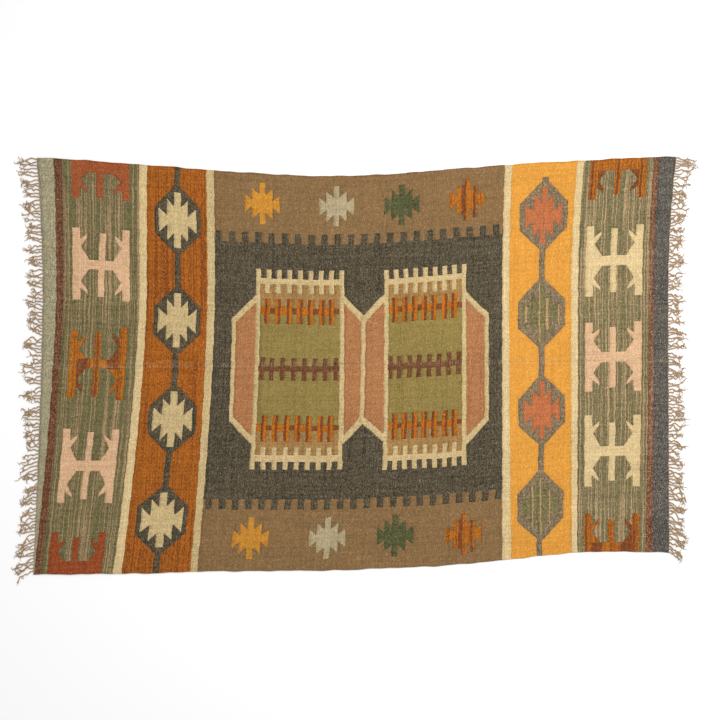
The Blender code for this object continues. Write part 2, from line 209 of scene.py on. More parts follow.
# The dark field lies over the brown bands, and its teeth reach into them: place of the first one, count,
# pitch, width and two ends.
BROWN_BAND_ENDS = (0.40, 1.20)
DARK_FIELD = (0.268, 1.265)
FAR_TEETH = (-0.531, 22, 0.0506, 0.0235, 0.229, 0.270)
NEAR_TEETH = (-0.527, 23, 0.0487, 0.0235, 1.262, 1.301)

# The niches. Places along of comb teeth and of the prongs of the three barred figures.
LEFT_COMB = [-0.377, -0.337, -0.297, -0.257, -0.216, -0.176, -0.136, -0.096, -0.056]
LEFT_COMB_DOWN = [-0.341, -0.300, -0.258, -0.218, -0.173, -0.135, -0.096]
RIGHT_COMB = [0.116, 0.153, 0.190, 0.227, 0.264, 0.302, 0.339, 0.376, 0.413]
RIGHT_COMB_DOWN = [0.153, 0.190, 0.227, 0.264, 0.302, 0.339, 0.376]
LEFT_PRONGS = [-0.343, -0.302, -0.258, -0.218, -0.177, -0.133, -0.096]
RIGHT_PRONGS = [0.148, 0.185, 0.223, 0.260, 0.298, 0.339, 0.375]
LEFT_PLUM_PRONGS = [-0.354, -0.318, -0.277, -0.235, -0.194, -0.154, -0.114, -0.073]
RIGHT_PLUM_PRONGS = [0.135, 0.169, 0.208, 0.244, 0.283, 0.320, 0.358, 0.395]
COMB_TOOTH = 0.0185
NICHE_LINE = 0.0165
PRONG = 0.020
PLUM_PRONG = 0.017
# Their ends across: the cream frame, the tan strip behind its comb, and the olive panel.
NICHE_ENDS = (0.404, 1.117)
COMB_STRIP = (0.427, 1.093)
OLIVE_PANEL = (0.537, 0.989)
# The barred figures: name, two sides of the bar, ends of its prongs, and share of the niche's lean.
BARRED_FIGURES = (
    ("far", (0.516, 0.547), (0.483, 0.579), 0.0),
    ("near", (0.974, 1.001), (0.939, 1.038), 0.85),
)
PLUM_BAR = (0.743, 0.766)
PLUM_PRONG_ENDS = (0.712, 0.801)

# Tassels at each end: spacing across, girth, least reach, and the near ones' droop as a share of reach.
TASSELS = {"left": (0.0128, 1.0, 0.046, 0.45), "right": (0.0114, 1.16, 0.042, 0.58)}
# Shares of the width, from the far side: where the droop starts, and how far the longer corner ones reach.
DROOP_START = 0.45
CORNER_SHARE = 0.10
TASSEL_INSET = 0.003
PLY_RADIUS = (0.0015, 0.0019)
PLY_TURN = 0.011
PLY_OFFSET = 0.0012
PLY_SIDES = 5
YARN_STEPS = 22
STRAND_RADIUS = 0.00125
STRAND_SIDES = 4
STRAND_STEPS = 11
YARN_HEIGHTS = (0.0002, 0.0066)

# The overcast cord along each long side.
SIDE_CORD_RADIUS = 0.0025
SIDE_CORD_STEP = 0.0024
SIDE_CORD_SIDES = 8

# Light and camera. The view is twice HALF_VIEW wide on the floor.
SURROUNDINGS = 0.62
LAMP_PLACE = (0.80, 0.50, 2.2)
LAMP_SIZE = (2.0, 0.9)
LAMP_WATTS = 27
SUN_STRENGTH = 1.1
SUN_SPREAD = 0.7
SUN_TILT = (math.radians(-32), math.radians(22), 0)
CAMERA_PLACE = (0.023, 0.020, 6.0)
HALF_VIEW = 1.386


def through(points, x):
    """Heights at x of a smooth curve through the points, level beyond its ends."""
    px, py = np.array(points).T
    x = np.clip(x, px[0], px[-1])
    last = len(px) - 1
    i = np.clip(np.searchsorted(px, x, side="left") - 1, 0, last - 1)
    before, after = np.maximum(np.arange(last + 1) - 1, 0), np.minimum(np.arange(last + 1) + 1, last)
    slope = (py[after] - py[before]) / (px[after] - px[before])
    span = px[i + 1] - px[i]
    t = (x - px[i]) / span
    rise = 3 * t**2 - 2 * t**3
    leave = t**3 - 2 * t**2 + t
    arrive = t**3 - t**2
    return py[i] + (py[i + 1] - py[i]) * rise + span * (leave * slope[i] + arrive * slope[i + 1])


def lay_down(along, across):
    """Floor places, X and Y, of points of the weave."""
    lines = np.array(list(WEFT_LINES.values()))
    t = across / WIDTH
    far = np.clip(1 - t / FLARE_REACH, 0, None) ** 2
    near = np.clip((t - LEAN_START) / (1 - LEAN_START), 0, None) ** LEAN_POWER
    flare = np.interp(along, lines[:, 0], lines[:, 1])
    lean = np.interp(along, lines[:, 0], lines[:, 2])
    x = along + flare * far + lean * near
    x = x + 0.0009 * np.sin(57 * across + 9 * along + 1.0) + 0.0006 * np.sin(131 * across + 31 * along)
    y_far = through(FAR_SIDE, x) + wobble(x, 0.0)
    return x, y_far + (through(NEAR_SIDE, x) + wobble(x, 2.0) - y_far) * t


def wobble(x, phase):
    """The small unevenness of a long side."""
    swing = np.sin(29 * x + phase) * np.sin(11.3 * x + 2 * phase)
    return 0.0017 * swing + 0.0010 * np.sin(73 * x + 1.7 + phase) * np.sin(17 * x)


def past_crease(x, y):
    """Distance from the crease, towards the far side."""
    return (y - CREASE_Y - CREASE_SLOPE * x) / math.hypot(1, CREASE_SLOPE)


def lie_of_cloth(x, y):
    """How high the cloth lies: faint swells, ridges beside the main crease and one at each lesser one."""
    swell = 0.45 + 0.22 * np.sin(5.1 * x + 1.3 + 2.2 * np.sin(3.3 * y))
    swell = swell + 0.22 * np.sin(7.7 * y + 2.6 * x + 0.4)
    swell = swell + 0.12 * np.sin(17 * x - 6 * y + 2.0) + 0.10 * np.sin(23 * y + 9 * x)
    d = past_crease(x, y)
    main = 0.95 * np.exp(-(((np.abs(d) - 0.011) / 0.008) ** 2))
    quarter = sum(0.50 * np.exp(-(((y - line) / LESSER_CREASE_REACH) ** 2)) for line in QUARTER_CREASES)
    middle = 0.45 * np.exp(-(((x - CROSS_CREASE[0] - CROSS_CREASE[1] * y) / LESSER_CREASE_REACH) ** 2))
    return 0.001 * (np.clip(swell, 0, None) + main + quarter + middle)


def box(x0, x1, y0, y1):
    return [(x0, y0), (x1, y0), (x1, y1), (x0, y1)]


def band(left, right):
    return box(WEFT_LINES[left][0], WEFT_LINES[right][0], -PAST_SIDE, WIDTH + PAST_SIDE)


def bar(x0, y0, x1, y1, half):
    """A bar from one point to another, with half its width on either side."""
    return [(x0 - half, y0), (x0 + half, y0), (x1 + half, y1), (x1 - half, y1)]


def leaning_box(x0, x1, y0, y1, lean0, lean1):
    return [(x0, y0), (x1, y0), (x1 + lean1, y1), (x0 + lean0, y1)]


def moved(outline, x, y):
    return [(x + dx, y + dy) for dx, dy in outline]


def star(x, y, shape):
    """A star of five upright parts: a bar, an inner point on each side and an outer one beyond it."""
    core, inner, outer, core_end, inner_end, outer_end, inner_join, outer_join = shape
    side = [
        (core, -core_end), (core, -inner_join), (inner, -inner_end), (inner, -outer_join),
        (outer, -outer_end), (outer, outer_end),
        (inner, outer_join), (inner, inner_end), (core, inner_join), (core, core_end),
    ]
    return moved(side + [(-dx, dy) for dx, dy in reversed(side)], x, y)


def medallion(x, y, half_width, side, half_length):
    """A six-sided medallion with a stem's width at its two ends."""
    return moved([
        (STEM, -half_length), (half_width, -side), (half_width, side), (STEM, half_length),
        (-STEM, half_length), (-half_width, side), (-half_width, -side), (-STEM, -half_length),
    ], x, y)


def hook_areas(piece, hook):
    """One hook motif: two posts, the barbed arms that join them to its cross, and a middle bar."""
    x, y, left, right, middle, lean, wool = hook
    streaked = wool == "burnt_orange"
    dark = "dark_rust" if streaked else wool
    at_far_side, at_near_side = y < RIM, y > WIDTH - RIM
    dark_cross = streaked and not at_far_side
    inner = HOOK_HALF_WIDTH - HOOK_POST
    areas = []
    for sign, (far, near) in ((-1, left), (1, right)):
        for way, reach in ((-1, far), (1, near)):
            arm = [
                (inner - HOOK_LAP, reach - BARB_NECK), (BARB_TIP[0], reach - BARB_TIP[1]),
                (BARB_HEEL[0], reach - BARB_HEEL[1]), (BARB_ROOT[0], reach - BARB_ROOT[1]),
                (HOOK_CROSS_CORNER, HOOK_CROSS), (HOOK_CROSS_CORNER, 0), (inner - HOOK_LAP, 0),
            ]
            shade = dark if at_far_side or sign * way < 0 else wool
            areas.append((piece, shade, [(x + sign * dx, y + way * dy) for dx, dy in arm]))
    cross_far = -PAST_SIDE if at_far_side else y - HOOK_CROSS
    cross_near = WIDTH + PAST_SIDE if at_near_side else y + HOOK_CROSS
    areas.append((piece, dark if dark_cross else wool, box(x - inner, x + inner, cross_far, cross_near)))
    if dark_cross:
        areas.append((piece, wool, box(x - HOOK_HEART, x + HOOK_HEART, y - HOOK_CROSS, y + HOOK_CROSS)))
    for sign, (far, near) in ((-1, left), (1, right)):
        x0, x1 = sorted((x + sign * inner, x + sign * HOOK_HALF_WIDTH))
        areas.append((piece, wool, box(x0, x1, y - far, y + near)))
        if streaked and x > 0:
            areas.append((piece, dark, box(x0 + POST_STREAK[0], x0 + POST_STREAK[1], y - far, y + near)))
    bars = [(HOOK_BAR, wool)] if at_near_side else [(HOOK_BAR, wool), (HOOK_CORE, dark)]
    for half, shade in bars:
        areas.append((piece, shade, bar(x + lean[0], y - middle[0], x + lean[1], y + middle[1], half)))
    return areas


def hook_border(side, lines, hooks):
    areas = [(f"hook_border_{side}", "sage" if side == "left" else "pale_sage", band(*lines))]
    for number, hook in enumerate(hooks, 1):
        areas += hook_areas(f"hook_{side}_{number}", hook)
    return areas


def medallion_areas(side, wool, places, start, end, shape):
    """A chain of medallions, each with half of the stem on either side of it."""
    areas = []
    chain = [start, *places, end]
    for number in range(1, len(places) + 1):
        (bx, by), (x, y), (ax, ay) = chain[number - 1:number + 2]
        if number > 1:
            bx, by = (bx + x) / 2, (by + y) / 2
        if number < len(places):
            ax, ay = (ax + x) / 2, (ay + y) / 2
        piece = f"medallion_ground_{side}_{number}"
        areas.append((piece, wool, bar(bx, by, x, y, STEM)))
        areas.append((piece, wool, bar(x, y, ax, ay, STEM)))
        areas.append((piece, wool, medallion(x, y, *shape)))
    return areas


def left_medallions():
    areas = [("medallion_band_left", "rust_orange", band("left_outer_stripe", "left_medallions"))]
    start, end = (-0.677, -PAST_SIDE), (-0.682, WIDTH + PAST_SIDE)
    areas += medallion_areas("left", "charcoal", LEFT_MEDALLIONS, start, end, LEFT_MEDALLION)
    for number, (x, y) in enumerate(LEFT_MEDALLIONS, 1):
        areas.append((f"star_left_{number}", "dull_cream", star(x, y, LEFT_STAR)))
    return areas


def right_medallions():
    """Their stem starts short of the far side. Two hold a red star, and two a mossy one with tan lines."""
    areas = [("medallion_band_right", "yellow_orange", band("right_inner_stripe", "right_medallions"))]
    start, end = (0.724, 0.058), (0.707, WIDTH + PAST_SIDE)
    areas += medallion_areas("right", "taupe", RIGHT_MEDALLIONS, start, end, RIGHT_MEDALLION)
    for number, (x, y) in enumerate(RIGHT_MEDALLIONS, 1):
        name = f"star_right_{number}"
        areas.append((name, "moss" if number in TAN_LINES else "coral", star(x, y, RIGHT_STAR)))
        for dx, width, far, near in TAN_LINES.get(number, []):
            areas.append((name, "tan", box(x + dx - width / 2, x + dx + width / 2, y + far, y + near)))
    return areas


def teeth(x0, count, pitch, width, y0, y1):
    return [box(x0 + k * pitch, x0 + k * pitch + width, y0, y1) for k in range(count)]


def field_areas():
    """The two brown bands with their stars, and the dark field whose teeth reach into them."""
    x0, x1 = WEFT_LINES["left_inner_stripe"][0], WEFT_LINES["field"][0]
    areas = [
        ("brown_band_far", "brown", box(x0, x1, -PAST_SIDE, BROWN_BAND_ENDS[0])),
        ("brown_band_near", "brown", box(x0, x1, BROWN_BAND_ENDS[1], WIDTH + PAST_SIDE)),
        ("dark_field", "charcoal", box(x0, x1, *DARK_FIELD)),
    ]
    areas += [("dark_field", "charcoal", tooth) for tooth in teeth(*FAR_TEETH) + teeth(*NEAR_TEETH)]
    for edge, stars in (("far", FAR_STARS), ("near", NEAR_STARS)):
        for number, (x, y, wool) in enumerate(stars, 1):
            piece = f"star_{edge}_{number}"
            areas.append((piece, wool, star(x, y, FIELD_STAR)))
            if wool == "burnt_orange":
                for dx0, dx1, far, near in STAR_DARK_LINES:
                    areas.append((piece, "dark_rust", box(x + dx0, x + dx1, y - far, y + near)))
    return areas


def niche_frames():
    """The cream frames of both niches and the salmon panels between their outer and inner sides."""
    left = [
        (-0.468, 0.562), (-0.377, 0.472), (-0.038, 0.468), (0.046, 0.556),
        (0.048, 0.966), (-0.027, 1.047), (-0.375, 1.049), (-0.462, 0.959),
    ]
    right = [
        (0.029, 0.556), (0.116, 0.468), (0.429, 0.479), (0.518, 0.572),
        (0.520, 0.989), (0.435, 1.078), (0.123, 1.047), (0.031, 0.963),
    ]
    return [
        ("niche_frame_left", "dull_cream", left),
        ("niche_frame_right", "dull_cream", right),
        ("side_panel_left_1", "salmon", [(-0.452, 0.581), (-0.377, 0.502), (-0.375, 1.018), (-0.447, 0.943)]),
        ("side_panel_left_2", "salmon", [(-0.038, 0.499), (0.029, 0.576), (0.030, 0.947), (-0.027, 1.013)]),
        ("side_panel_right_1", "salmon", [(0.046, 0.576), (0.116, 0.499), (0.123, 1.016), (0.048, 0.947)]),
        ("side_panel_right_2", "salmon", [(0.429, 0.508), (0.502, 0.587), (0.504, 0.976), (0.435, 1.045)]),
    ]


def niche_middle(side, xs, combs, downs, prongs, plums, shift):
    """The upright middle of a niche: comb ends, tan strips, olive panel and the three barred figures."""
    x0, x1, lean0, lean1 = xs
    inner0, inner1 = x0 + NICHE_LINE, x1 - NICHE_LINE
    far, near = (end + shift for end in NICHE_ENDS)
    frame_piece = f"niche_frame_{side}"
    comb_strip = leaning_box(inner0, inner1, *(end + shift for end in COMB_STRIP), lean0, lean1)
    olive_panel = leaning_box(inner0, inner1, *OLIVE_PANEL, lean0 * 0.8, lean1 * 0.8)

    def lean_at(x):
        return lean0 + (lean1 - lean0) * (x - x0) / (x1 - x0)

    areas = [
        (frame_piece, "dull_cream", leaning_box(x0, x1, far, near, lean0, lean1)),
        (f"comb_strip_{side}", "tan_brown", comb_strip),
        (f"olive_panel_{side}", "olive", olive_panel),
    ]
    rows = (
        (combs, (0.370 + shift, far + 0.002), (near - 0.002, 1.147 + shift * 1.5)),
        (downs, (0.425 + shift, 0.464 + shift), (1.059 + shift, 1.095 + shift)),
    )
    for places, far_reach, near_reach in rows:
        for x in places:
            lean = lean_at(x)
            areas.append((frame_piece, "dull_cream", box(x, x + COMB_TOOTH, *far_reach)))
            areas.append((frame_piece, "dull_cream", box(x + lean, x + lean + COMB_TOOTH, *near_reach)))
    for name, bar_sides, prong_ends, share in BARRED_FIGURES:
        piece = f"barred_figure_{side}_{name}"
        stops = [inner0 + lean0 * share, *(x + PRONG / 2 for x in prongs), inner1 + lean1 * share]
        for k in range(len(stops) - 1):
            wool, inset = ("bright_orange", 0.0) if k % 2 == 0 else ("dark_rust", 0.005)
            far, near = bar_sides[0] + inset, bar_sides[1] - inset
            areas.append((piece, wool, box(stops[k], stops[k + 1], far, near)))
        for k, x in enumerate(prongs):
            start = x + share * lean_at(x)
            dark = start if k % 2 == 0 else start + PRONG / 2
            areas.append((piece, "bright_orange", box(start, start + PRONG, *prong_ends)))
            areas.append((piece, "dark_rust", box(dark, dark + PRONG / 2, *prong_ends)))
    piece = f"plum_figure_{side}"
    areas.append((piece, "plum", box(inner0, inner1 + 0.003, *PLUM_BAR)))
    areas += [(piece, "plum", box(x, x + PLUM_PRONG, *PLUM_PRONG_ENDS)) for x in plums]
    return areas


def pattern():
    """Every woven area in the order it is laid over those before it: piece, wool and outline."""
    areas = [
        ("end_web_left", "grey_green", band("left_end", "left_web")),
        ("guard_stripe_left", "maroon", band("left_web", "left_guard")),
    ]
    areas += hook_border("left", ("left_guard", "left_border"), LEFT_HOOKS)
    areas.append(("outer_stripe_left", "cream", band("left_border", "left_outer_stripe")))
    areas += left_medallions()
    areas.append(("inner_stripe_left", "dull_cream", band("left_medallions", "left_inner_stripe")))
    areas += field_areas() + niche_frames()
    left_rows = (LEFT_COMB, LEFT_COMB_DOWN, LEFT_PRONGS, LEFT_PLUM_PRONGS)
    right_rows = (RIGHT_COMB, RIGHT_COMB_DOWN, RIGHT_PRONGS, RIGHT_PLUM_PRONGS)
    areas += niche_middle("left", (-0.377, -0.039, 0.004, 0.010), *left_rows, 0.0)
    areas += niche_middle("right", (0.116, 0.431, 0.007, 0.005), *right_rows, 0.006)
    areas.append(("inner_stripe_right", "cream", band("field", "right_inner_stripe")))
    areas += right_medallions()
    areas.append(("outer_stripe_right", "cream", band("right_medallions", "right_outer_stripe")))
    areas += hook_border("right", ("right_outer_stripe", "right_border"), RIGHT_HOOKS)
    areas.append(("guard_stripe_right", "faded_maroon", band("right_border", "right_guard")))
    areas.append(("end_web_right", "slate", band("right_guard", "right_end")))
    return areas


def crossings(outline, across):
    """Places along where an outline crosses the middle of one rib."""
    found = []
    for (x0, y0), (x1, y1) in zip(outline, outline[1:] + outline[:1]):
        if (y0 <= across) != (y1 <= across):
            found.append(x0 + (x1 - x0) * (across - y0) / (y1 - y0))
    return sorted(found)


def runs_of_rib(areas, rib, chance):
    """One rib's runs of wool from end to end: start, end and area (piece, wool). Run ends wander a little."""
    across = (rib + 0.5) * RIB
    spans = []
    for order, area in enumerate(areas):
        cuts = crossings(area[2], across)
        spans += [(a, b, order) for a, b in zip(cuts[::2], cuts[1::2])]
    stops = sorted({p for a, b, _ in spans for p in (a, b)})
    starts, ends, orders = (np.array(v) for v in zip(*spans))
    runs = []
    for a, b in zip(stops, stops[1:]):
        covered = (starts <= (a + b) / 2) & (ends > (a + b) / 2)
        key = areas[orders[covered].max()][:2]
        if runs and (runs[-1][2] == key or b - a < SHORTEST_RUN):
            runs[-1][1] = b
        else:
            runs.append([a, b, key])
    for before, after in zip(runs, runs[1:]):
        before[1] = after[0] = before[1] + max(-2, min(2, chance.gauss(0, 1))) * END_WANDER
    return runs


# The corners round one rib's section: side line or crest, and level above or below the cloth's middle.
RIB_SECTION = ((2, 1), (1, 2), (0, 1), (0, -1), (1, -2), (2, -1))


class Cloth:
    """The corners and faces of one piece while it is woven."""

    def __init__(self):
        self.number = {}
        self.corners = []
        self.faces = []
        self.wools = []
        self.smooth = []
        self.flat_area = 0.0

    def corner(self, along, line, level, pull=0.0):
        key = (along, line, level, pull)
        if key not in self.number:
            self.number[key] = len(self.corners)
            self.corners.append((along, line * RIB / 2 + pull, level))
        return self.number[key]

    def face(self, corners, wool, smooth=True):
        self.faces.append(corners)
        self.wools.append(wool)
        self.smooth.append(smooth)


def area_at(runs, along):
    for start, end, key in runs:
        if start <= along < end:
            return key
    return None


def stops_within(start, end, marks):
    """Places along where a rib's run is divided: its ends, even steps and the marks between."""
    steps = [k * SEGMENT for k in range(math.ceil(start / SEGMENT), math.floor(end / SEGMENT) + 1)]
    return sorted({start, end, *steps, *(p for p in marks if start < p < end)})


def between(stops, corners, a, b):
    return [corner for p, corner in zip(stops, corners) if a <= p <= b]


def weave_side(cloth, rib, run, side, neighbour, crest):
    """One slope of a rib's run, above and below, down to its neighbour's valley, and its slits."""
    start, end, key = run
    peak, line = 2 * rib + 1, 2 * rib + 2 * side
    stops = stops_within(start, end, [p for other in neighbour for p in other[:2]])
    joined = [area_at(neighbour, (a + b) / 2) == key for a, b in zip(stops, stops[1:])]
    top, under = [], []
    for k, a in enumerate(stops):
        slit = 0 < k < len(joined) and not joined[k - 1] and not joined[k]
        pull = SLIT * (1 - 2 * side) if slit else 0.0
        top.append(cloth.corner(a, line, 1, pull))
        under.append(cloth.corner(a, line, -1, pull))
    for k, shut in enumerate(joined):
        if not shut:
            wall = (top[k], top[k + 1], under[k + 1], under[k])
            cloth.face(wall if side == 0 else wall[::-1], key[1], False)
    for a, b in zip(crest, crest[1:]):
        above = [cloth.corner(a, peak, 2), cloth.corner(b, peak, 2), *between(stops, top, a, b)[::-1]]
        below = [cloth.corner(a, peak, -2), cloth.corner(b, peak, -2), *between(stops, under, a, b)[::-1]]
        cloth.face(tuple(above if side == 0 else above[::-1]), key[1])
        cloth.face(tuple(below[::-1] if side == 0 else below), key[1])


def weave_rib(pieces, ribs, rib):
    """Weaves one rib into the pieces it passes through."""
    before = ribs[rib - 1] if rib > 0 else []
    after = ribs[rib + 1] if rib + 1 < len(ribs) else []
    for run in ribs[rib]:
        start, end, key = run
        cloth = pieces.setdefault(key[0], Cloth())
        cloth.flat_area += (end - start) * RIB
        crest = stops_within(start, end, ())
        weave_side(cloth, rib, run, 0, before, crest)
        weave_side(cloth, rib, run, 1, after, crest)
        for a in (start, end):
            ring = [cloth.corner(a, 2 * rib + line, level) for line, level in RIB_SECTION]
            cloth.face(tuple(ring if a == start else ring[::-1]), key[1], False)


def add_to_scene(name, data):
    made = bpy.data.objects.new(name, data)
    bpy.context.scene.collection.objects.link(made)
    return made


def mesh_piece(name, points, faces, materials, material_numbers, smooth, weave):
    """An object from points and faces, with its weave places kept for the wool's pattern."""
    mesh = bpy.data.meshes.new(name)
    mesh.from_pydata(points, [], faces)
    for material in materials:
        mesh.materials.append(material)
    mesh.polygons.foreach_set("material_index", np.array(material_numbers, np.int32))
    mesh.polygons.foreach_set("use_smooth", np.array(smooth, bool))
    attribute = mesh.attributes.new("weave", "FLOAT_VECTOR", "POINT")
    attribute.data.foreach_set("vector", np.array(weave, np.float32).ravel())
    mesh.update()
    return add_to_scene(name, mesh)


def cloth_piece(name, cloth):
    corners = np.array(cloth.corners)
    along, across, level = corners.T
    x, y = lay_down(along, across)
    heights = {2: CLOTH, 1: CLOTH - RELIEF, -1: RELIEF, -2: 0.0}
    rib = np.clip(np.floor(across / RIB), 0, RIB_COUNT - 1).astype(int)
    z = lie_of_cloth(x, y) + np.vectorize(heights.get)(level) + np.where(level == 2, RIB_HEIGHTS[rib], 0)
    wools = sorted(set(cloth.wools))
    numbers = [wools.index(wool) for wool in cloth.wools]
    points = np.column_stack([x, y, z]).tolist()
    weave = np.column_stack([along, across, past_crease(x, y)])
    materials = [wool_material(wool) for wool in wools]
    piece = mesh_piece(name, points, cloth.faces, materials, numbers, cloth.smooth, weave)
    return piece


def attach(piece):
    """Rides a piece on the half it lies on; a piece that crosses the crease rides on neither, with its place
    baked into its points.
    """
    points = np.array([v.co for v in piece.data.vertices])
    d = past_crease(points[:, 0], points[:, 1])
    if d.min() > BEND:
        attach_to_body(piece, "far_half")
    elif d.max() < -BEND:
        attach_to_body(piece, "near_half")
    else:
        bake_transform(piece)


def cord_points(path, radius, sides, twist=0.0, offset=0.0, phase=0.0):
    """Rings of points round a path. With an offset the cord winds round it, as a ply of twisted yarn does."""
    path = np.array(path)
    ahead = np.gradient(path, axis=0)
    ahead /= np.linalg.norm(ahead, axis=1)[:, None]
    across = np.cross(ahead, (0, 0, 1.0))
    across /= np.maximum(np.linalg.norm(across, axis=1)[:, None], 1e-9)
    up = np.cross(across, ahead)
    run = np.concatenate([[0], np.cumsum(np.linalg.norm(np.diff(path, axis=0), axis=1))])
    wind = phase + run * twist
    centre = path + offset * (np.cos(wind)[:, None] * across + np.sin(wind)[:, None] * up)
    rings = []
    for k in range(sides):
        turn = 2 * math.pi * k / sides
        rings.append(centre + radius[:, None] * (math.cos(turn) * across + math.sin(turn) * up))
    return np.stack(rings, axis=1), run


def cord_faces(rows, sides, first=0):
    """Faces of a cord closed at both ends, whose points are numbered from the first."""
    last = first + (rows - 1) * sides
    faces = []
    for ring in range(first, last, sides):
        for k in range(sides):
            n = (k + 1) % sides
            faces.append((ring + k, ring + sides + k, ring + sides + n, ring + n))
    return faces + [tuple(range(first, first + sides)), tuple(reversed(range(last, last + sides)))]


class Bundle:
    """Cords gathered into one mesh."""

    def __init__(self):
        self.points, self.faces, self.weave, self.count = [], [], [], 0

    def add(self, path, radius, sides, seed, **winding):
        rings, run = cord_points(path, radius, sides, **winding)
        rows = len(rings)
        self.points.append(rings.reshape(-1, 3))
        turn = np.tile(np.arange(sides) / sides, rows)
        self.weave.append(np.column_stack([np.repeat(run, sides), turn, np.full(rows * sides, seed)]))
        self.faces += cord_faces(rows, sides, self.count)
        self.count += rows * sides

    def piece(self, name, material):
        points = np.concatenate(self.points)
        points[:, 2] = np.clip(points[:, 2], *YARN_HEIGHTS)
        weave = np.concatenate(self.weave)
        numbers = [0] * len(self.faces)
        smooth = [len(face) == 4 for face in self.faces]
        return mesh_piece(name, points.tolist(), self.faces, [material], numbers, smooth, weave)


def tassel_groups(chance, start, end, spacing):
    """Places across of the tassels, in the little groups that cling together."""
    groups, across = [], start
    while across < end:
        size = chance.choice((2, 3, 3, 4, 5))
        group = []
        for _ in range(size):
            if across >= end:
                break
            group.append(across)
            across += spacing * chance.uniform(0.85, 1.15)
        groups.append(group)
    return groups


def curling(start, heading, turn, length, steps, chance):
    """A path that sets off from a point and curls as it goes."""
    share = np.linspace(0, 1, steps)
    angle = heading + turn * share + 0.5 * np.sin(share * chance.uniform(4, 9) + chance.uniform(0, 6.28))
    rise = 0.0008 * np.sin(share * 7 + chance.uniform(0, 6.28))
    x = start[0] + np.cumsum(np.cos(angle)) * length / steps
    y = start[1] + np.cumsum(np.sin(angle)) * length / steps
    return np.column_stack([x, y, start[2] + rise])


def floor_place(along, across):
    return (float(place[0]) for place in lay_down(np.array([along]), np.array([across])))


def make_fringe(side, half, seed):
    """Twisted warp ends that cling together in groups, curl, and come apart into strands at their tips."""
    chance = random.Random(seed)
    outward = -1.0 if side == "left" else 1.0
    edge = WEFT_LINES[f"{side}_end"][0]
    spacing, girth, least_reach, droop_share = TASSELS[side]
    bundle = Bundle()
    for group in tassel_groups(chance, TASSEL_INSET, WIDTH - TASSEL_INSET, spacing):
        middle = sum(group) / len(group)
        share = middle / WIDTH
        droop = max(0.0, (share - DROOP_START) / (1 - DROOP_START)) ** 1.3
        corner = max(0.0, 1 - share / CORNER_SHARE)
        reach = least_reach + 0.016 * chance.random() + 0.030 * corner + 0.008 * droop
        cling = chance.uniform(0.0, 0.75)
        drift_y = -reach * droop * droop_share + chance.gauss(0, 0.007) * (1 - corner)
        _, group_y = floor_place(edge, middle)
        for across in group:
            x0, y0 = floor_place(edge, across)
            length, tone = reach * chance.uniform(0.75, 1.15), chance.random() * 50
            curl, kink, wave = chance.gauss(0, 0.0044), chance.gauss(0, 0.0021), chance.uniform(0, 6.28)
            hook = chance.gauss(0, 0.010) * (1 - corner)
            thick = girth * chance.uniform(*PLY_RADIUS)
            fray = [
                (
                    chance.randint(13, 21), chance.gauss(0, 0.9),
                    chance.gauss(0, 1.6), chance.uniform(0.010, 0.026),
                )
                for _ in range(chance.choice((3, 4, 5)))
            ]
            if (past_crease(x0, y0) > 0) != (half == "far"):
                continue
            t = np.linspace(0, 1, YARN_STEPS)
            ease = t * t * (3 - 2 * t)
            # It sets off straight, drifts to its group and the near side, swings, and hooks at its tip.
            x = x0 + outward * (length * t - 0.003 * (1 - t) + 0.003 * np.sin(t * 13 + wave) * ease)
            y = y0 + (group_y - y0) * cling * ease + drift_y * t**1.3
            swing = curl * np.sin(t * 8.5 + wave) + kink * np.sin(t * 21 + 2 * wave)
            y = y + np.minimum(1, 2.5 * t) * swing + hook * t**2
            z = 0.0029 + 0.0009 * np.sin(t * 9 + wave) * t
            path = np.column_stack([x, y, z])
            radius = thick * (1 - 0.25 * t**2)
            for ply in (0.0, math.pi):
                winding = {"twist": 2 * math.pi / PLY_TURN, "offset": PLY_OFFSET, "phase": ply + wave}
                bundle.add(path, radius, PLY_SIDES, tone + ply, **winding)
            for start, aside, turn, long in fray:
                way = path[start] - path[start - 2]
                heading = math.atan2(way[1], way[0]) + 0.5 * aside
                strand = curling(path[start], heading, turn, long, STRAND_STEPS, chance)
                taper = np.linspace(1, 0.55, STRAND_STEPS)
                bundle.add(strand, STRAND_RADIUS * taper, STRAND_SIDES, tone + 7)
    piece = bundle.piece(f"tassels_{side}_{half}", yarn_end_material())
    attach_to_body(piece, f"{half}_half")
    return piece


def make_selvedge(edge, ribs):
    """The overcast cord along a long side, in the wool of each band it passes."""
    runs = ribs[0] if edge == "far" else ribs[-1]
    across = RIB * 0.35 if edge == "far" else WIDTH - RIB * 0.35
    along = np.arange(WEFT_LINES["left_end"][0], WEFT_LINES["right_end"][0], SIDE_CORD_STEP)
    x, y = lay_down(along, np.full(len(along), across))
    wrap = np.where(np.arange(len(along)) % 2 == 0, 1.0, 0.90)
    radius = SIDE_CORD_RADIUS * wrap * (1 + 0.06 * np.sin(along * 61))
    path = np.column_stack([x, y, lie_of_cloth(x, y) + SIDE_CORD_RADIUS])
    rings, _ = cord_points(path, radius, SIDE_CORD_SIDES)
    rows, sides = rings.shape[:2]
    wools = sorted({run[2][1] for run in runs})
    faces = cord_faces(rows, sides)
    numbers = []
    for place in np.clip(along[:-1], runs[0][0] + 1e-6, runs[-1][1] - 1e-6):
        numbers += [wools.index(area_at(runs, place)[1])] * sides
    numbers += [numbers[0], numbers[-1]]
    round_cord = across + np.tile(np.arange(sides), rows) * 0.0021
    weave = np.column_stack([np.repeat(along, sides), round_cord, np.repeat(past_crease(x, y), sides)])
    materials = [wool_material(wool) for wool in wools]
    smooth = [len(face) == 4 for face in faces]
    points = rings.reshape(-1, 3).tolist()
    piece = mesh_piece(f"side_cord_{edge}", points, faces, materials, numbers, smooth, weave)
    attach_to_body(piece, f"{edge}_half")
    return piece


# Materials.


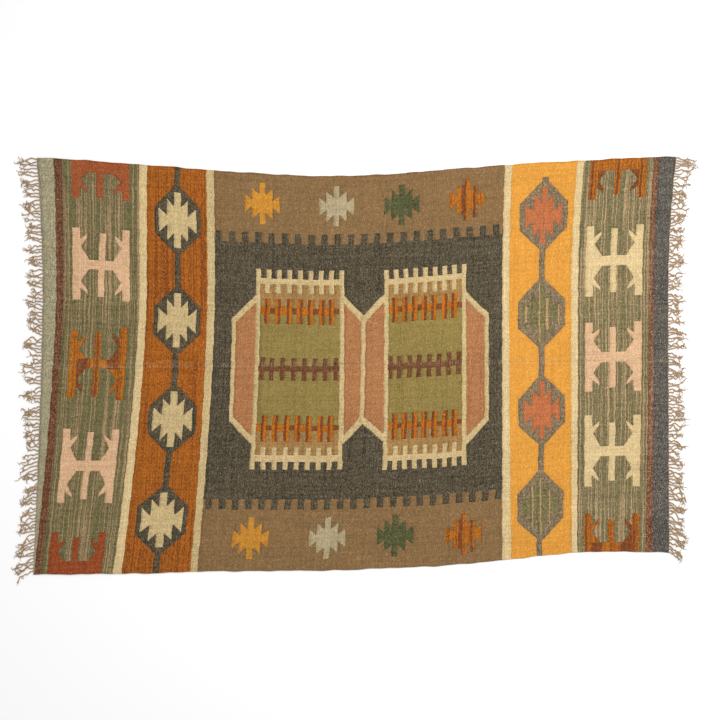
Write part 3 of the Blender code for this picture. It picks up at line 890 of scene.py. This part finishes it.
def socket(group, name, kind, way, value=None):
    made = group.interface.new_socket(name, in_out=way, socket_type=kind)
    if value is not None:
        made.default_value = value


class Nodes:
    """Short calls for making and joining the nodes of one tree."""

    def __init__(self, tree):
        self.tree = tree

    def add(self, kind, values=(), **settings):
        made = self.tree.nodes.new(kind)
        for name, value in settings.items():
            setattr(made, name, value)
        return self.feed(made, values)

    def feed(self, node, values):
        """Sets the inputs of a node, or joins them to what a socket puts out."""
        for name, value in dict(values).items():
            if isinstance(value, bpy.types.NodeSocket):
                self.tree.links.new(value, node.inputs[name])
            else:
                node.inputs[name].default_value = value
        return node

    def math(self, operation, *values):
        return self.add("ShaderNodeMath", enumerate(values), operation=operation).outputs[0]

    def times(self, a, b):
        return self.math("MULTIPLY", a, b)

    def plus(self, a, b):
        return self.math("ADD", a, b)

    def either_way(self, value, reach):
        """A value from 0 to 1, swung about nothing by its reach."""
        return self.times(self.math("SUBTRACT", value, 0.5), reach)

    def mix(self, factor, a, b):
        return self.add("ShaderNodeMix", {0: factor, 6: a, 7: b}, data_type="RGBA").outputs[2]

    def step(self, value, low, high):
        made = self.add("ShaderNodeMapRange", {0: value, 1: low, 2: high}, interpolation_type="SMOOTHSTEP")
        return made.outputs[0]

    def vector(self, x, y, z):
        return self.add("ShaderNodeCombineXYZ", {0: x, 1: y, 2: z}).outputs[0]

    def noise(self, x, y, z, detail=1.0, roughness=0.5):
        place = self.vector(x, y, z)
        values = {"Vector": place, "Scale": 1.0, "Detail": detail, "Roughness": roughness}
        return self.add("ShaderNodeTexNoise", values).outputs[0]

    def speckle(self, x, y, z):
        place = self.vector(x, y, z)
        return self.add("ShaderNodeTexWhiteNoise", {0: place}, noise_dimensions="3D").outputs[0]


def wool_weave_group():
    """Weft-faced wool: a bead of weft over each warp, streaks and flecks, and painted shade in the valleys
    and along the crease.
    """
    group = bpy.data.node_groups.get("wool_weave")
    if group:
        return group
    group = bpy.data.node_groups.new("wool_weave", "ShaderNodeTree")
    for name in ("Wool", "Fleck", "Streak"):
        socket(group, name, "NodeSocketColor", "INPUT", (0.5, 0.5, 0.5, 1))
    for name in ("Fleck share", "Streak share", "Unevenness"):
        socket(group, name, "NodeSocketFloat", "INPUT", 0.2)
    socket(group, "Colour", "NodeSocketColor", "OUTPUT")
    socket(group, "Relief", "NodeSocketFloat", "OUTPUT")
    socket(group, "Roughness", "NodeSocketFloat", "OUTPUT")
    n = Nodes(group)
    given = n.add("NodeGroupInput").outputs
    place = n.add("ShaderNodeAttribute", attribute_name="weave")
    along, across, crease = n.add("ShaderNodeSeparateXYZ", {0: place.outputs["Vector"]}).outputs

    # Each rib, and each pass of weft along it. Passes of neighbouring ribs are half a pass apart.
    rib_place = n.times(across, 1 / RIB)
    rib = n.math("FLOOR", rib_place)
    odd = n.times(n.math("PINGPONG", rib, 1.0), 0.5)
    pass_place = n.plus(n.times(along, 1 / PASS), odd)
    weft = n.math("FLOOR", pass_place)

    # Streaks and flecks of other wool.
    broad = n.noise(n.times(along, 175.0), n.times(across, 1.6), 5.0, roughness=0.7)
    edge = n.math("SUBTRACT", 0.70, n.times(given["Streak share"], 0.45))
    streaked = n.step(broad, n.math("SUBTRACT", edge, 0.05), n.plus(edge, 0.05))
    colour = n.mix(n.times(streaked, 0.95), given["Wool"], given["Streak"])
    flecked = n.math("LESS_THAN", n.speckle(weft, rib, 11.0), given["Fleck share"])
    colour = n.mix(n.times(flecked, 0.75), colour, given["Fleck"])

    # The rubbed line beside the crease.
    fine = n.noise(n.times(along, 420.0), n.times(across, 7.0), 1.0, roughness=0.6)
    from_crease = n.math("ABSOLUTE", crease)
    rubbed = n.times(n.step(from_crease, 0.014, 0.003), n.step(fine, 0.52, 0.60))
    colour = n.mix(n.times(rubbed, 0.22), colour, (0.58, 0.44, 0.28, 1))

    # Uneven dye from bead to bead, from rib to rib and over the cloth, then painted shade in the valleys
    # between ribs and along the crease.
    bead = n.either_way(n.speckle(rib, weft, 3.0), n.times(given["Unevenness"], 2.6))
    thread = n.noise(n.times(along, 5.0), n.times(rib, 7.31), 4.0)
    swing = n.plus(bead, n.either_way(thread, n.times(given["Unevenness"], 2.2)))
    dye = n.either_way(fine, n.times(given["Unevenness"], 1.6))
    patch = n.noise(n.times(along, 7.0), n.times(across, 7.0), 9.0, detail=3.0, roughness=0.55)
    wear = n.either_way(patch, 0.22)
    # Painted shade: the colour is darkened in each valley between ribs and in a thin line along the crease.
    valley = n.math("ABSOLUTE", n.math("SUBTRACT", n.math("FRACT", rib_place), 0.5))
    shade = n.times(n.step(valley, 0.30, 0.5), -0.36)
    painted_crease_shade = n.times(n.step(from_crease, 0.004, 0.001), -0.10)
    total = n.plus(n.plus(swing, dye), n.plus(n.plus(wear, painted_crease_shade), shade))
    bright = {"Value": n.plus(1.06, total), "Color": colour}
    colour = n.add("ShaderNodeHueSaturation", bright).outputs[0]

    # The bow of each bead, and its fibres.
    fibre = n.noise(n.times(along, 1900.0), n.times(across, 700.0), 2.0, detail=2.0)
    bow = n.math("SINE", n.times(n.math("FRACT", pass_place), math.pi))
    relief = n.plus(bow, n.times(fibre, 0.5))
    roughness = n.plus(0.86, n.times(fibre, 0.14))
    n.add("NodeGroupOutput", {"Colour": colour, "Relief": relief, "Roughness": roughness})
    return group


def finish_wool(n, colour, relief, roughness, depth):
    bump = n.add("ShaderNodeBump", {"Height": relief, "Distance": depth, "Strength": 0.7})
    n.feed(n.tree.nodes["Principled BSDF"], {
        "Base Color": colour, "Roughness": roughness, "Normal": bump.outputs["Normal"],
        "Specular IOR Level": 0.12, "Sheen Weight": 0.04, "Sheen Roughness": 0.5,
    })


def new_material(name):
    material = bpy.data.materials.new(name)
    material.use_nodes = True
    return material, Nodes(material.node_tree)


def wool_material(wool):
    material = bpy.data.materials.get(f"{wool}_wool")
    if material:
        return material
    colour, fleck, fleck_share, streak, streak_share, uneven = WOOLS[wool]
    material, n = new_material(f"{wool}_wool")
    weave = n.add("ShaderNodeGroup", {
        "Wool": (*colour, 1), "Fleck": (*fleck, 1), "Streak": (*streak, 1),
        "Fleck share": fleck_share, "Streak share": streak_share, "Unevenness": uneven,
    }, node_tree=wool_weave_group())
    finish_wool(n, *weave.outputs, depth=0.0004)
    return material


def yarn_end_material():
    """Undyed twisted warp ends: pale strands with painted shade in the twist between them, and some cords
    browner.
    """
    material = bpy.data.materials.get("undyed_yarn")
    if material:
        return material
    material, n = new_material("undyed_yarn")
    place = n.add("ShaderNodeAttribute", attribute_name="weave")
    run, turn, tone = n.add("ShaderNodeSeparateXYZ", {0: place.outputs["Vector"]}).outputs
    lay = n.vector(n.times(run, 260.0), n.times(turn, 5.0), tone)
    strands = n.add("ShaderNodeTexNoise", {"Vector": lay, "Scale": 1.0, "Detail": 3.0}).outputs[0]
    whole = n.add("ShaderNodeTexWhiteNoise", {1: tone}, noise_dimensions="1D").outputs[0]
    # Painted shade: the dark brown stands for the shade in the twist between strands; the pale tan is the
    # yarn's own colour.
    colour = n.mix(n.step(strands, 0.35, 0.65), (0.215, 0.128, 0.060, 1), (0.635, 0.440, 0.250, 1))
    colour = n.mix(n.times(whole, 0.35), colour, (0.28, 0.170, 0.082, 1))
    finish_wool(n, colour, strands, n.plus(0.84, n.times(strands, 0.14)), depth=0.0003)
    return material


def floor_material():
    material, n = new_material("pale_floor")
    spots = n.add("ShaderNodeTexNoise", {"Scale": 3.0, "Detail": 2.0}).outputs[0]
    colour = n.mix(spots, (0.95, 0.95, 0.95, 1), (0.97, 0.97, 0.97, 1))
    n.feed(n.tree.nodes["Principled BSDF"], {"Base Color": colour, "Roughness": 0.9})
    return material


def make_floor():
    reach = 40
    corners = [(x, y, FLOOR_LEVEL) for x, y in box(-reach, reach, -reach, reach)]
    mesh = bpy.data.meshes.new("floor")
    mesh.from_pydata(corners, [], [(0, 1, 2, 3)])
    mesh.materials.append(floor_material())
    floor = add_to_scene("floor", mesh)
    return floor


def make_studio():
    """Even white surroundings, a soft sun and a lamp over the rug's right half."""
    scene = bpy.context.scene
    scene.world = bpy.data.worlds.new("studio")
    scene.world.use_nodes = True
    surroundings = scene.world.node_tree.nodes["Background"].inputs
    surroundings["Color"].default_value = (1, 1, 1, 1)
    surroundings["Strength"].default_value = SURROUNDINGS
    scene.view_settings.view_transform = "Standard"
    lamp = bpy.data.lights.new("overhead", "AREA")
    lamp.shape = "RECTANGLE"
    lamp.size, lamp.size_y = LAMP_SIZE
    lamp.energy = LAMP_WATTS
    add_to_scene("overhead", lamp).location = LAMP_PLACE
    sun = bpy.data.lights.new("window_light", "SUN")
    sun.energy = SUN_STRENGTH
    sun.angle = SUN_SPREAD
    add_to_scene("window_light", sun).rotation_euler = SUN_TILT


def make_camera():
    """Straight above the rug, a little off its middle."""
    data = bpy.data.cameras.new("camera")
    data.sensor_width = 36
    data.lens = data.sensor_width / 2 * CAMERA_PLACE[2] / HALF_VIEW
    camera = add_to_scene("camera", data)
    camera.location = CAMERA_PLACE
    bpy.context.scene.camera = camera


PLAIN_BANDS = ("end_web", "guard_stripe", "outer_stripe", "inner_stripe")


def stand_in_for_cad():
    """Every CAD node is soft, and each is stood for by the pieces woven where it is."""
    for side in ("left", "right"):
        for name in (*PLAIN_BANDS, "hook_border", "medallion_band"):
            piece = f"{name}_{side}"
            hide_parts(f"{piece}_far", f"{piece}_near")
        for number in (1, 2, 3, 4):
            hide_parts(f"medallion_{side}_{number}")
        for number, name in ((1, "rim_hook_far"), (2, "hook_far"), (4, "hook_near"), (5, "rim_hook_near")):
            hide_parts(f"{name}_{side}")
        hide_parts(f"hook_middle_{side}_far", f"hook_middle_{side}_near")
        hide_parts(f"niche_{side}_far", f"niche_{side}_near")
        for half in ("far", "near"):
            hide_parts(f"fringe_{side}_{half}")
    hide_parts("dark_field_far", "dark_field_near")
    for half in ("far", "near"):
        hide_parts(f"field_band_{half}")
        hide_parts(f"selvedge_{half}")


def make_rug(floor):
    chance = random.Random(7)
    areas = pattern()
    ribs = [runs_of_rib(areas, rib, chance) for rib in range(RIB_COUNT)]
    cloths = {}
    for rib in range(RIB_COUNT):
        weave_rib(cloths, ribs, rib)
    pieces = {name: cloth_piece(name, cloth) for name, cloth in cloths.items()}
    for piece in pieces.values():
        attach(piece)
    for half in ("far", "near"):
        pieces[f"selvedge_{half}"] = make_selvedge(half, ribs)
        for side, seed in (("left", 21), ("right", 34)):
            pieces[f"fringe_{side}_{half}"] = make_fringe(side, half, seed)
    stand_in_for_cad()


make_camera()
make_studio()
make_rug(make_floor())
